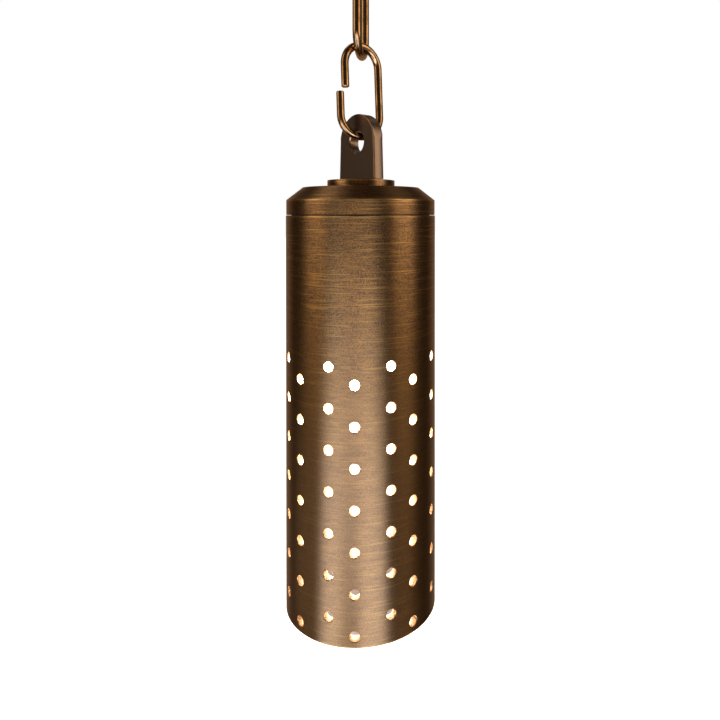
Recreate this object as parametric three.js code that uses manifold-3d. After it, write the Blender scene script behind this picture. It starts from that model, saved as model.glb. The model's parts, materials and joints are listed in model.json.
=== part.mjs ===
// Outdoor pendant light: a perforated brass sleeve under a turned cap, hung from an eye and two
// chain links. Sizes are in millimetres, +Z is up, and the origin is where a hook bears in the
// top of the upper link. The eye's flat faces look along Y.

import * as THREE from "three";
import { mergeVertices } from "three/addons/utils/BufferGeometryUtils.js";
import Module from "manifold-3d";

const wasm = await Module();
wasm.setup();

// Clearances, and how far a cutter runs past what it cuts
const seatGap = 0.3;
const slipGap = 0.25;
const eyeGap = 0.7;
const linkGap = 0.65;
const cutterReach = 1;

// Chain links, overall sizes, and how far the open link was sprung sideways
const linkWidth = 21.3;
const upperLinkLength = 42.5;
const upperWireDiameter = 3.6;
const upperLinkTurn = 41;
const openLinkLength = 42;
const openWireDiameter = 3.35;
const openLinkSpring = 15;
const openLinkMouth = 0.6;

// Eye: a blade milled from round bar, with a threaded stem
const eyeWidth = 23.6;
const eyeFootWidth = 24.9;
const eyeThickness = 5;
const eyeBore = 9.5;
const eyeBoreEdge = 0.4;
const eyeHeight = 16.5;
const stemDiameter = 5;
const stemEnd = 0.6;
const washerDiameter = 10;
const washerThickness = 1;
const nutAcrossFlats = 8;
const nutThickness = 4;

// Cap
const capSetIn = 0.15;
const capSkirt = 6.1;
const capBevelWidth = 6.8;
const capBevelHeight = 5.3;
const capArris = 0.25;
const bossDiameter = 28.8;
const bossHeight = 3.2;
const bossCove = 1;
const roofThickness = 4.2;
const seamOpening = 0.35;
const spigotLength = 9;
const spigotWall = 3.9;
const spigotChamfer = 0.6;
const oRingSection = 1.8;
const oRingDrop = 2.2;
const gasketThickness = 0.5;
const gasketLip = 0.9;

// Cable inlet behind the eye
const inletOffset = 9;
const inletBore = 3.4;
const inletNeck = 5.2;
const inletFlange = 7.2;
const inletFlangeThickness = 1.4;
const inletTail = 0.8;

// Sleeve
const sleeveDiameter = 63.5;
const sleeveLength = 165;
const sleeveWall = 3.2;
const counterboreWall = 2;
const rimEdge = 0.35;
const holeDiameter = 4.5;
const holeColumns = 8;
const holeRows = 7;
const rowPitch = 16;
const lastRowRise = 4.4;
const staggerRise = 6.6;
const staggerTurn = 26;
const firstColumnTurn = 2.6;

// Lens and what holds it in the sleeve
const lampToLens = 0.9;
const lensThickness = 3;
const lensGasketThickness = 1.5;
const snapWire = 1.6;
const snapGrooveDepth = 0.7;
const snapMouth = 24;

// Lamp holder
const bracketSheet = 1.2;
const bracketWidth = 14;
const bracketSpan = 44;
const bracketPlatform = 28.4;
const bracketScrewSpacing = 36;
const bracketScrewDiameter = 4;
const bracketScrewGrip = 3.2;
const socketLength = 26;
const socketWidth = 13;
const socketHeight = 9;
const socketScrewSpacing = 18;
const socketScrewDiameter = 3;
const screwHeadRatio = 1.9;
const screwHeadHeight = 0.6;
const screwDomeRatio = 0.7;
const screwDomeHeight = 0.6;
const pinHoleDiameter = 2.4;
const pinHoleDepth = 8;
const leadDiameter = 1.5;
const leadGap = 0.2;
const leadEntryDrop = 4;
const leadBend = 4.2;
const leadTuck = 1;

// Reflector lamp with two pins
const lampDiameter = 50;
const lampLength = 37.5;
const lampRimHeight = 2.2;
const lampRimLip = 0.8;
const lampWall = 1.4;
const lampNeckDiameter = 16;
const lampBaseLength = 15;
const lampBaseWidth = 8.5;
const lampBaseHeight = 10;
const pinSpacing = 5.33;
const pinDiameter = 1.5;
const pinLength = 7;
const frontGlassThickness = 1.2;
const frontGlassRecess = 0.2;
const capsuleDiameter = 9;
const capsuleLength = 15;

// Number of flats on round forms
const largeSides = 40;
const ringSides = 32;
const boreSides = 24;
const smallSides = 12;
const holeSides = 8;
const wireSides = 8;
const sectionSides = 6;
const linkSteps = 40;
const leadSteps = 14;
const archSteps = 14;
const coveSteps = 3;
const domeSteps = 3;
const cupSteps = [0, 0.12, 0.32, 0.6, 1];

// The two of each pair, and the side of X that each is on
const pair = { left: -1, right: 1 };

// Radii that several pieces share
const linkHalf = (linkWidth - openWireDiameter) / 2;
const sleeveRadius = sleeveDiameter / 2;
const counterboreRadius = sleeveRadius - counterboreWall;
const boreRadius = sleeveRadius - sleeveWall;
const capRadius = sleeveRadius - capSetIn;
const bossRadius = bossDiameter / 2;
const spigotRadius = counterboreRadius - slipGap;
const spigotBoreRadius = spigotRadius - spigotWall;
const oRingRadius = counterboreRadius - slipGap - oRingSection / 2;

// Heights from the hang point down to the sleeve's top rim
const upperWire = upperWireDiameter / 2;
const openWire = openWireDiameter / 2;
const upperPitch = upperLinkLength - upperWireDiameter;
const openPitch = openLinkLength - openWireDiameter;
const upperLinkMiddle = upperWire - upperPitch / 2;
const openLinkTop = upperLinkMiddle - upperPitch / 2 + upperWire + linkGap + openWire;

// Heights in the housing, from the sleeve's top rim
const capFoot = seamOpening;
const capShoulder = capFoot + capSkirt;
const capTop = capShoulder + capBevelHeight;
const bossTop = capTop + bossHeight;
const roofUnder = capTop - roofThickness;
const eyeFoot = bossTop + seatGap;
const eyeCentre = bossTop + eyeHeight;
const washerTop = roofUnder - seatGap;
const nutTop = washerTop - washerThickness - seatGap;
const nutFoot = nutTop - nutThickness;
const bracketTop = roofUnder - seatGap;
const platformTop = nutFoot - stemEnd - seatGap;
const platformFoot = platformTop - bracketSheet;
const socketTop = platformFoot - seatGap;
const socketFoot = socketTop - socketHeight;
const lampTop = socketFoot - seatGap;
const lampFoot = lampTop - lampLength;
const lensTop = lampFoot - lampToLens;
const lensFoot = lensTop - lensThickness;
const lensGasketTop = lensFoot - seatGap;
const lensSeat = lensGasketTop - lensGasketThickness - seatGap;
const snapCentre = lensTop + seatGap + snapWire / 2;

const degrees = Math.PI / 180;

// Solids

function toSolid(geometry) {
  const bare = geometry.clone();
  bare.deleteAttribute("normal");
  bare.deleteAttribute("uv");
  const merged = mergeVertices(bare, 1e-4);
  const vertProperties = new Float32Array(merged.attributes.position.array);
  const triVerts = new Uint32Array(merged.index.array);
  return new wasm.Manifold(new wasm.Mesh({ numProp: 3, vertProperties, triVerts }));
}

function toGeometry(solid) {
  const mesh = solid.getMesh();
  const geometry = new THREE.BufferGeometry();
  geometry.setAttribute("position", new THREE.BufferAttribute(mesh.vertProperties, 3));
  geometry.setIndex(new THREE.BufferAttribute(mesh.triVerts, 1));
  geometry.computeVertexNormals();
  return geometry;
}

// A turned form: the profile is a list of [radius, height] that runs with its material on the left
function turned(profile, sides) {
  const points = profile.map(([radius, height]) => new THREE.Vector2(radius, height));
  const geometry = new THREE.LatheGeometry(points, sides);
  geometry.rotateX(Math.PI / 2);
  return geometry;
}

// A rectangular ring section between two radii and two heights
function ring(innerRadius, outerRadius, foot, top, sides) {
  const section = [
    [innerRadius, foot], [outerRadius, foot], [outerRadius, top], [innerRadius, top], [innerRadius, foot],
  ];
  return turned(section, sides);
}

// An upright round bar between two heights
function bar(radius, foot, top, sides) {
  const geometry = new THREE.CylinderGeometry(radius, radius, top - foot, sides);
  geometry.rotateX(Math.PI / 2);
  geometry.translate(0, 0, (foot + top) / 2);
  return geometry;
}

// A flat outline raised from foot to top
function raised(shape, foot, top, curveSegments) {
  const options = { depth: top - foot, bevelEnabled: false, curveSegments };
  const geometry = new THREE.ExtrudeGeometry(shape, options);
  geometry.translate(0, 0, foot);
  return geometry;
}

// An outline drawn in X and Z, as wide as given along Y
function standing(shape, width, curveSegments) {
  const options = { depth: width, bevelEnabled: false, curveSegments };
  const geometry = new THREE.ExtrudeGeometry(shape, options);
  geometry.translate(0, 0, -width / 2);
  geometry.rotateX(Math.PI / 2);
  return geometry;
}

function roundSection(radius) {
  return new THREE.Shape().absarc(0, 0, radius, 0, 2 * Math.PI);
}

function tubeAlong(path, radius, steps, sides) {
  const options = { steps, extrudePath: path, curveSegments: sides / 2 };
  return new THREE.ExtrudeGeometry(roundSection(radius), options);
}

function piece(parent, name, geometry, color, roughness, metalness) {
  const material = new THREE.MeshStandardMaterial({ color, roughness, metalness });
  const mesh = new THREE.Mesh(geometry, material);
  mesh.name = name;
  parent.add(mesh);
  return mesh;
}

const bronze = [0x6b4a2a, 0.45, 0.9];
const darkBronze = [0x3a281c, 0.5, 0.85];
const chainBronze = [0x8a5f35, 0.3, 0.95];
const steel = [0xb8b8b4, 0.35, 0.9];
const blackRubber = [0x1c1a18, 0.8, 0];
const greySilicone = [0xc9c4ba, 0.7, 0];
const clearGlass = [0xe8eef0, 0.08, 0];
const ceramic = [0xece6da, 0.55, 0];

// Chain: the centreline of an oval link, which starts and ends at the middle of its left leg.
// The half below the middle is sprung sideways about the right leg, as an opened link is.
class LinkPath extends THREE.Curve {
  constructor(half, pitch, mouth, spring) {
    super();
    this.half = half;
    this.leg = pitch - 2 * half;
    this.mouth = mouth;
    this.spring = spring;
    this.length = 2 * this.leg + 2 * Math.PI * half;
  }

  getPoint(t, target = new THREE.Vector3()) {
    const { half, leg } = this;
    const arc = Math.PI * half;
    const s = this.mouth / 2 + t * (this.length - this.mouth);
    let across = -half;
    let up = s <= leg / 2 ? s : s - this.length;
    if (s > leg / 2 && s < leg / 2 + arc) {
      const turn = (s - leg / 2) / half;
      across = -half * Math.cos(turn);
      up = leg / 2 + half * Math.sin(turn);
    } else if (s >= leg / 2 + arc && s <= 1.5 * leg + arc) {
      across = half;
      up = leg + arc - s;
    } else if (s > 1.5 * leg + arc && s < 1.5 * leg + 2 * arc) {
      const turn = (s - 1.5 * leg - arc) / half;
      across = half * Math.cos(turn);
      up = -leg / 2 - half * Math.sin(turn);
    }
    const angle = up < 0 || s > this.length / 2 ? this.spring : 0;
    const reach = across - half;
    return target.set(reach * Math.sin(angle), half + reach * Math.cos(angle), up);
  }
}

function addChain(parent) {
  const upperPath = new LinkPath(linkHalf, upperPitch, 0, 0);
  const upperGeometry = new THREE.TubeGeometry(upperPath, linkSteps, upperWire, wireSides, true);
  const upperLink = piece(parent, "upper_chain_link", upperGeometry, ...chainBronze);
  upperLink.rotation.z = upperLinkTurn * degrees;
  upperLink.position.z = upperLinkMiddle;

  const openPath = new LinkPath(linkHalf, openPitch, openLinkMouth, openLinkSpring * degrees);
  const openGeometry = tubeAlong(openPath, openWire, linkSteps, wireSides);
  openGeometry.translate(0, 0, -openPitch / 2);
  const openLink = piece(parent, "open_chain_link", openGeometry, ...chainBronze);
  openLink.quaternion.setFromUnitVectors(lowBearing().normalize(), new THREE.Vector3(0, 0, -1));
  openLink.position.z = openLinkTop;
}

// From the top of the open link's bend to the bottom of its sprung half
function lowBearing() {
  const spring = openLinkSpring * degrees;
  const aside = -linkHalf * Math.sin(spring);
  return new THREE.Vector3(aside, linkHalf - linkHalf * Math.cos(spring), -openPitch);
}

const openLinkBottom = openLinkTop - lowBearing().length();
const rimHeight = openLinkBottom + openWire + eyeGap - eyeBore / 2 - eyeCentre;

// Eye: the blade's sides and rounded top, cut from a tapered round bar, with a stem below it
function eyeBlade() {
  const outline = new THREE.Shape();
  outline.moveTo(-eyeFootWidth / 2, eyeFoot);
  outline.lineTo(eyeFootWidth / 2, eyeFoot);
  outline.lineTo(eyeWidth / 2, eyeCentre);
  outline.absarc(0, eyeCentre, eyeWidth / 2, 0, Math.PI);
  outline.closePath();
  const blade = toSolid(standing(outline, eyeThickness, archSteps));
  const blank = turned([
    [0, eyeFoot - cutterReach],
    [eyeFootWidth / 2, eyeFoot - cutterReach],
    [eyeFootWidth / 2, eyeFoot],
    [eyeWidth / 2, eyeCentre],
    [eyeWidth / 2, eyeCentre + eyeWidth],
    [0, eyeCentre + eyeWidth],
  ], largeSides);
  return blade.intersect(toSolid(blank));
}

// The bore through the blade, with its two edges broken
function eyeBoreCutter() {
  const half = eyeThickness / 2;
  const radius = eyeBore / 2;
  const flare = radius + eyeBoreEdge + cutterReach;
  const cutter = turned([
    [0, -half - cutterReach],
    [flare, -half - cutterReach],
    [radius, -half + eyeBoreEdge],
    [radius, half - eyeBoreEdge],
    [flare, half + cutterReach],
    [0, half + cutterReach],
  ], boreSides);
  cutter.rotateX(Math.PI / 2);
  cutter.translate(0, 0, eyeCentre);
  return toSolid(cutter);
}

function addEye(housing) {
  const stem = toSolid(bar(stemDiameter / 2, nutFoot - stemEnd, eyeFoot + cutterReach, smallSides));
  const eye = eyeBlade().add(stem).subtract(eyeBoreCutter());
  piece(housing, "hanger_eye", toGeometry(eye), ...darkBronze);

  const washerBore = stemDiameter / 2 + slipGap;
  const washer = ring(washerBore, washerDiameter / 2, washerTop - washerThickness, washerTop, smallSides);
  piece(housing, "eye_washer", washer, ...steel);

  const hexagon = bar(nutAcrossFlats / Math.sqrt(3), nutFoot, nutTop, 6);
  const nutHole = bar(washerBore, nutFoot - cutterReach, nutTop + cutterReach, smallSides);
  piece(housing, "eye_nut", toGeometry(toSolid(hexagon).subtract(toSolid(nutHole))), ...steel);
}

// Cap: one turned profile from the middle of the roof's underside, round the spigot and the
// skirt, up the bevel and the boss, and back to the middle
function capProfile() {
  const grooveRadius = oRingRadius - oRingSection / 2 - slipGap;
  const grooveTop = -oRingDrop + oRingSection / 2 + slipGap;
  const grooveFoot = -oRingDrop - oRingSection / 2 - slipGap;
  const lipRadius = sleeveRadius - gasketLip;
  const recessTop = seatGap / 2 + gasketThickness + seatGap / 2;
  const bevelRadius = capRadius - capBevelWidth;
  const cove = [];
  for (let step = 0; step <= coveSteps; step += 1) {
    const turn = ((step / coveSteps) * Math.PI) / 2;
    const radius = bossRadius + bossCove * (1 - Math.sin(turn));
    cove.push([radius, capTop + bossCove * (1 - Math.cos(turn))]);
  }
  return [
    [0, roofUnder],
    [spigotBoreRadius, roofUnder],
    [spigotBoreRadius, -spigotLength],
    [spigotRadius - spigotChamfer, -spigotLength],
    [spigotRadius, -spigotLength + spigotChamfer],
    [spigotRadius, grooveFoot],
    [grooveRadius, grooveFoot],
    [grooveRadius, grooveTop],
    [spigotRadius, grooveTop],
    [spigotRadius, recessTop],
    [lipRadius, recessTop],
    [lipRadius, capFoot],
    [capRadius - capArris, capFoot],
    [capRadius, capFoot + capArris],
    [capRadius, capShoulder],
    [bevelRadius, capTop],
    ...cove,
    [bossRadius, bossTop - capArris],
    [bossRadius - capArris, bossTop],
    [0, bossTop],
  ];
}

function addCap(housing) {
  const below = roofUnder - cutterReach;
  const above = bossTop + cutterReach;
  const sink = bossTop - inletFlangeThickness - seatGap;
  const cuts = [bar(stemDiameter / 2 + slipGap, below, above, smallSides)];
  const neck = bar(inletNeck / 2 + slipGap, below, above, smallSides);
  const flange = bar(inletFlange / 2 + slipGap, sink, above, smallSides);
  cuts.push(neck.translate(0, inletOffset, 0), flange.translate(0, inletOffset, 0));
  for (const side of Object.values(pair)) {
    const hole = bar(bracketScrewDiameter / 2 + slipGap, below, roofUnder + bracketScrewGrip, smallSides);
    cuts.push(hole.translate((side * bracketScrewSpacing) / 2, 0, 0));
  }
  let cap = toSolid(turned(capProfile(), largeSides));
  for (const cut of cuts) {
    cap = cap.subtract(toSolid(cut));
  }
  piece(housing, "cap", toGeometry(cap), ...bronze);

  const oRing = roundRing(oRingRadius, oRingSection / 2, -oRingDrop);
  piece(housing, "cap_o_ring", oRing, ...blackRubber);

  const tail = roofUnder - inletTail;
  const bushing = turned([
    [inletBore / 2, tail],
    [inletNeck / 2, tail],
    [inletNeck / 2, bossTop - inletFlangeThickness],
    [inletFlange / 2, bossTop - inletFlangeThickness],
    [inletFlange / 2, bossTop],
    [inletBore / 2, bossTop],
    [inletBore / 2, tail],
  ], smallSides);
  bushing.translate(0, inletOffset, 0);
  piece(housing, "cable_bushing", bushing, ...blackRubber);
}

// A ring of round section about Z
function roundRing(radius, sectionRadius, height) {
  const section = [];
  for (let step = 0; step < sectionSides; step += 1) {
    const turn = (step / sectionSides) * 2 * Math.PI;
    section.push([radius + sectionRadius * Math.cos(turn), height + sectionRadius * Math.sin(turn)]);
  }
  section.push(section[0]);
  return turned(section, ringSides);
}

// Lamp holder: a strap screwed to the roof carries the ceramic socket
function strapOutline() {
  const foot = bracketSpan / 2;
  const leg = bracketPlatform / 2;
  const outline = new THREE.Shape();
  outline.moveTo(-foot, bracketTop);
  outline.lineTo(-foot, bracketTop - bracketSheet);
  outline.lineTo(-leg, bracketTop - bracketSheet);
  outline.lineTo(-leg, platformFoot);
  outline.lineTo(leg, platformFoot);
  outline.lineTo(leg, bracketTop - bracketSheet);
  outline.lineTo(foot, bracketTop - bracketSheet);
  outline.lineTo(foot, bracketTop);
  outline.lineTo(leg - bracketSheet, bracketTop);
  outline.lineTo(leg - bracketSheet, platformTop);
  outline.lineTo(-leg + bracketSheet, platformTop);
  outline.lineTo(-leg + bracketSheet, bracketTop);
  outline.closePath();
  return outline;
}

// A pan-head screw with its head down; height is where the head bears
function screw(diameter, grip, height) {
  const headRadius = (diameter * screwHeadRatio) / 2;
  const headHeight = diameter * screwHeadHeight;
  return turned([
    [0, height - headHeight],
    [headRadius * screwDomeRatio, height - headHeight],
    [headRadius, height - headHeight + headHeight * screwDomeHeight],
    [headRadius, height],
    [diameter / 2, height],
    [diameter / 2, height + grip],
    [0, height + grip],
  ], smallSides);
}

function addBracket(housing) {
  let strap = toSolid(standing(strapOutline(), bracketWidth, 1));
  const head = bracketTop - bracketSheet - seatGap;
  const grip = bracketSheet + 2 * seatGap + bracketScrewGrip - slipGap - seatGap;
  for (const [label, side] of Object.entries(pair)) {
    const place = (side * bracketScrewSpacing) / 2;
    const hole = bar(bracketScrewDiameter / 2 + slipGap, head, bracketTop + cutterReach, smallSides);
    strap = strap.subtract(toSolid(hole.translate(place, 0, 0)));
    const fixing = screw(bracketScrewDiameter, grip, head);
    piece(housing, `bracket_screw_${label}`, fixing.translate(place, 0, 0), ...steel);

    const reach = (side * socketScrewSpacing) / 2;
    const below = platformFoot - cutterReach;
    const above = platformTop + cutterReach;
    const tapping = bar(socketScrewDiameter / 2 + slipGap, below, above, smallSides);
    strap = strap.subtract(toSolid(tapping.translate(reach, 0, 0)));
  }
  piece(housing, "lamp_bracket", toGeometry(strap), ...steel);
}

function stadium(length, width) {
  const radius = width / 2;
  const reach = length / 2 - radius;
  const outline = new THREE.Shape();
  outline.absarc(reach, 0, radius, -Math.PI / 2, Math.PI / 2);
  outline.absarc(-reach, 0, radius, Math.PI / 2, 1.5 * Math.PI);
  outline.closePath();
  return outline;
}

function addSocket(housing) {
  const headRadius = (socketScrewDiameter * screwHeadRatio) / 2;
  const headDepth = socketScrewDiameter * screwHeadHeight + seatGap;
  const head = socketFoot + headDepth + seatGap;
  const below = socketFoot - cutterReach;
  let socket = toSolid(raised(stadium(socketLength, socketWidth), socketFoot, socketTop, smallSides / 2));
  for (const [label, side] of Object.entries(pair)) {
    const place = (side * socketScrewSpacing) / 2;
    const shaft = bar(socketScrewDiameter / 2 + slipGap, below, socketTop + cutterReach, smallSides);
    const sink = bar(headRadius + slipGap, below, head, smallSides);
    socket = socket.subtract(toSolid(shaft.translate(place, 0, 0)));
    socket = socket.subtract(toSolid(sink.translate(place, 0, 0)));
    const grip = socketTop - head + 2 * seatGap + bracketSheet;
    const fixing = screw(socketScrewDiameter, grip, head - seatGap);
    piece(housing, `socket_screw_${label}`, fixing.translate(place, 0, 0), ...steel);

    const pinHole = bar(pinHoleDiameter / 2, below, socketFoot + pinHoleDepth, smallSides);
    socket = socket.subtract(toSolid(pinHole.translate((side * pinSpacing) / 2, 0, 0)));
  }
  piece(housing, "lamp_socket", toGeometry(socket), ...ceramic);
}

// The socket's two leads: out of its long side, up past the bracket and into the cable bushing
function leadPath(side) {
  const wall = socketWidth / 2 + seatGap;
  const exit = new THREE.Vector3((side * pinSpacing) / 2, wall, socketTop - leadEntryDrop);
  const inlet = (side * (leadDiameter + leadGap)) / 2;
  const outside = Math.max(socketWidth, bracketWidth) / 2 + leadBend;
  return new THREE.CatmullRomCurve3([
    exit,
    new THREE.Vector3(exit.x, exit.y + leadDiameter, exit.z),
    new THREE.Vector3(exit.x, outside, exit.z + leadBend),
    new THREE.Vector3(exit.x, outside, nutFoot),
    new THREE.Vector3(inlet, inletOffset, roofUnder - inletTail - leadDiameter),
    new THREE.Vector3(inlet, inletOffset, roofUnder + leadTuck),
  ]);
}

function addLeads(housing) {
  for (const [label, side] of Object.entries(pair)) {
    const lead = tubeAlong(leadPath(side), leadDiameter / 2, leadSteps, wireSides);
    piece(housing, `socket_lead_${label}`, lead, ...greySilicone);
  }
}

// Lamp: a parabolic cup on a base block, with a capsule inside and a glass over its front
function cupRadius(depth) {
  const neck = lampNeckDiameter / 2;
  const rim = lampDiameter / 2 - lampRimLip;
  const share = depth / (lampLength - lampBaseHeight - lampRimHeight);
  return Math.sqrt(neck * neck + (rim * rim - neck * neck) * share);
}

function addLamp(housing) {
  const neckTop = lampTop - lampBaseHeight;
  const cupDepth = lampLength - lampBaseHeight - lampRimHeight;
  const floor = neckTop - 2 * lampWall;
  const rimTop = lampFoot + lampRimHeight;
  const glassRadius = cupRadius(cupDepth) - lampWall;
  const outside = cupSteps.map((share) => [cupRadius(share * cupDepth), neckTop - share * cupDepth]);
  const inside = cupSteps.slice(1).map((share) => {
    const drop = neckTop - floor + share * (cupDepth - (neckTop - floor));
    return [cupRadius(drop) - lampWall, neckTop - drop];
  });
  const profile = [
    [0, neckTop],
    [0, floor],
    [lampNeckDiameter / 2 - lampWall, floor],
    ...inside,
    [glassRadius, lampFoot],
    [lampDiameter / 2, lampFoot],
    [lampDiameter / 2, rimTop],
    ...outside.slice().reverse(),
    [0, neckTop],
  ];
  const cup = toSolid(turned(profile, ringSides));
  const block = new THREE.BoxGeometry(lampBaseLength, lampBaseWidth, lampBaseHeight + lampWall);
  block.translate(0, 0, lampTop - (lampBaseHeight + lampWall) / 2);
  piece(housing, "lamp_reflector", toGeometry(cup.add(toSolid(block))), ...steel);

  const glassFoot = lampFoot + frontGlassRecess;
  const glass = bar(glassRadius - slipGap, glassFoot, glassFoot + frontGlassThickness, ringSides);
  piece(housing, "lamp_front_glass", glass, ...clearGlass);

  const capsuleRadius = capsuleDiameter / 2;
  const capsuleTop = floor - seatGap;
  const domeCentre = capsuleTop - capsuleLength + capsuleRadius;
  const dome = [[0, domeCentre - capsuleRadius]];
  for (let step = 1; step <= domeSteps; step += 1) {
    const turn = ((step / domeSteps) * Math.PI) / 2;
    dome.push([capsuleRadius * Math.sin(turn), domeCentre - capsuleRadius * Math.cos(turn)]);
  }
  const capsule = turned([...dome, [capsuleRadius, capsuleTop], [0, capsuleTop]], smallSides);
  piece(housing, "lamp_capsule", capsule, ...clearGlass);

  for (const [label, side] of Object.entries(pair)) {
    const foot = lampTop + seatGap / 2;
    const pin = bar(pinDiameter / 2, foot, foot + pinLength, wireSides);
    piece(housing, `lamp_pin_${label}`, pin.translate((side * pinSpacing) / 2, 0, 0), ...steel);
  }
}

// Sleeve: bored from below, counterbored from above for the spigot and the lens
function sleeveProfile() {
  const grooveTop = snapCentre + snapWire / 2 + slipGap;
  const grooveFoot = snapCentre - snapWire / 2 - slipGap;
  const grooveRadius = counterboreRadius + snapGrooveDepth;
  return [
    [sleeveRadius - rimEdge, 0],
    [counterboreRadius + rimEdge, 0],
    [counterboreRadius, -rimEdge],
    [counterboreRadius, grooveTop],
    [grooveRadius, grooveTop],
    [grooveRadius, grooveFoot],
    [counterboreRadius, grooveFoot],
    [counterboreRadius, lensSeat],
    [boreRadius, lensSeat],
    [boreRadius, -sleeveLength + rimEdge],
    [boreRadius + rimEdge, -sleeveLength],
    [sleeveRadius - rimEdge, -sleeveLength],
    [sleeveRadius, -sleeveLength + rimEdge],
    [sleeveRadius, -rimEdge],
    [sleeveRadius - rimEdge, 0],
  ];
}

// A radial drill at a turn about Z, counted from the -Y side, and a height
function drill(turn, height) {
  const reach = sleeveWall + 2 * cutterReach;
  const cutter = new THREE.CylinderGeometry(holeDiameter / 2, holeDiameter / 2, reach, holeSides);
  cutter.rotateY(Math.PI / holeSides);
  cutter.translate(0, -(sleeveRadius - sleeveWall / 2), 0);
  cutter.rotateZ(turn);
  cutter.translate(0, 0, height);
  return toSolid(cutter);
}

function addSleeve(housing) {
  const lastRow = -sleeveLength + lastRowRise;
  const columnTurn = 360 / holeColumns;
  const sets = [
    { turn: firstColumnTurn, rise: 0 },
    { turn: firstColumnTurn + staggerTurn, rise: staggerRise },
  ];
  const drills = [];
  for (const { turn, rise } of sets) {
    for (let column = 0; column < holeColumns; column += 1) {
      for (let row = 0; row < holeRows; row += 1) {
        drills.push(drill((turn + column * columnTurn) * degrees, lastRow + rise + row * rowPitch));
      }
    }
  }
  // The tube's flats are turned so that an edge between two of them runs near every column's middle
  const tube = turned(sleeveProfile(), largeSides);
  tube.rotateZ((firstColumnTurn + staggerTurn / 2) * degrees + Math.PI / largeSides);
  const sleeve = toSolid(tube).subtract(wasm.Manifold.union(drills));
  piece(housing, "perforated_sleeve", toGeometry(sleeve), ...bronze);

  const gasketFoot = seatGap / 2;
  const gasketOuter = sleeveRadius - gasketLip - slipGap;
  const gasketTop = gasketFoot + gasketThickness;
  const gasket = ring(spigotRadius + slipGap, gasketOuter, gasketFoot, gasketTop, ringSides);
  piece(housing, "seam_gasket", gasket, ...blackRubber);

  const lensRadius = counterboreRadius - slipGap;
  const lensGasketFoot = lensGasketTop - lensGasketThickness;
  const lensGasket = ring(boreRadius + slipGap, lensRadius, lensGasketFoot, lensGasketTop, ringSides);
  piece(housing, "lens_gasket", lensGasket, ...greySilicone);
  piece(housing, "sleeve_lens", bar(lensRadius, lensFoot, lensTop, ringSides), ...clearGlass);

  const snapRadius = counterboreRadius + snapGrooveDepth - slipGap - snapWire / 2;
  const mouth = (snapMouth / 2) * degrees;
  const snapCurve = new THREE.EllipseCurve(0, 0, snapRadius, snapRadius, mouth, 2 * Math.PI - mouth);
  const snapPath = new THREE.CatmullRomCurve3(
    snapCurve.getPoints(ringSides).map((point) => new THREE.Vector3(point.x, point.y, snapCentre)),
  );
  piece(housing, "lens_snap_ring", tubeAlong(snapPath, snapWire / 2, ringSides, sectionSides), ...steel);
}

const pendant = new THREE.Group();
addChain(pendant);
const housing = new THREE.Group();
housing.position.z = rimHeight;
pendant.add(housing);
addEye(housing);
addCap(housing);
addBracket(housing);
addSocket(housing);
addLeads(housing);
addLamp(housing);
addSleeve(housing);

export default pendant;
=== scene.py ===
# Perforated brass pendant light on two chain links: its looks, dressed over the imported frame.
# Lengths in the dictionaries are in millimetres, angles in degrees.

import json
import math

import bmesh
import bpy
from mathutils import Matrix, Vector


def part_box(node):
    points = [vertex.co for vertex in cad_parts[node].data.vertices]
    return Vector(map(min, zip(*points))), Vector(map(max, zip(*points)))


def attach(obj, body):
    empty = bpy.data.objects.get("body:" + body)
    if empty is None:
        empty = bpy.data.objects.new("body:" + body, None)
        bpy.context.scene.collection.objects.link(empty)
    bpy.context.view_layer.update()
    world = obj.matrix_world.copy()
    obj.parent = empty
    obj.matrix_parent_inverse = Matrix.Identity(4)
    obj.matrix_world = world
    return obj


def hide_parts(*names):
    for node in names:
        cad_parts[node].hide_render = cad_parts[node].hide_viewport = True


mm = 0.001
up = Vector((0, 0, 1))

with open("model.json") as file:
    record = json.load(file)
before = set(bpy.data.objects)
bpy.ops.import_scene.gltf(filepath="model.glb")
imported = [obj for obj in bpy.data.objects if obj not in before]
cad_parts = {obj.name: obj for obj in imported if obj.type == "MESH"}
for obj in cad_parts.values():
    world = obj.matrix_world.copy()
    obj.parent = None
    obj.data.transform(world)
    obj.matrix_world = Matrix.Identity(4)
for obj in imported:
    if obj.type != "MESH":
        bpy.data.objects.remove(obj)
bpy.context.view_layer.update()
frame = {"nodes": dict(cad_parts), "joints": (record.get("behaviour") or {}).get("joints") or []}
print("frame loaded:", len(frame["nodes"]), "nodes")


# What every piece is placed from

def boxOf(node):
    low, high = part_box(node)
    return {"low": low / mm, "high": high / mm}


def heightsOf(node):
    box = boxOf(node)
    return box["low"].z, box["high"].z


def jointHeight(name):
    return next(joint["pos_m"][2] for joint in frame["joints"] if joint["name"] == name) / mm


sleeveBox = boxOf("perforated_sleeve")
capBox = boxOf("cap")
eyeBox = boxOf("hanger_eye")
lensBox = boxOf("sleeve_lens")
rimHeight = sleeveBox["high"].z


# Camera: as the photo was taken, from level with the tube's top rim, with the frame shifted down
# and the lamp a little left of where the camera points

camera = {
    "azimuth": 52.2,
    "distance": 267.6,
    "aboveRim": 0.56,
    "turnedRight": 4.5,
    "turnedDown": 0.4,
    "lens": 31.0,
    "shiftX": -0.0693,
    "shiftY": -0.1967,
}


def aroundAxis(azimuth):
    # azimuth 0 is the -Y side, 90 the +X side
    turn = math.radians(azimuth)
    return Vector((math.sin(turn), -math.cos(turn), 0))


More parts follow.
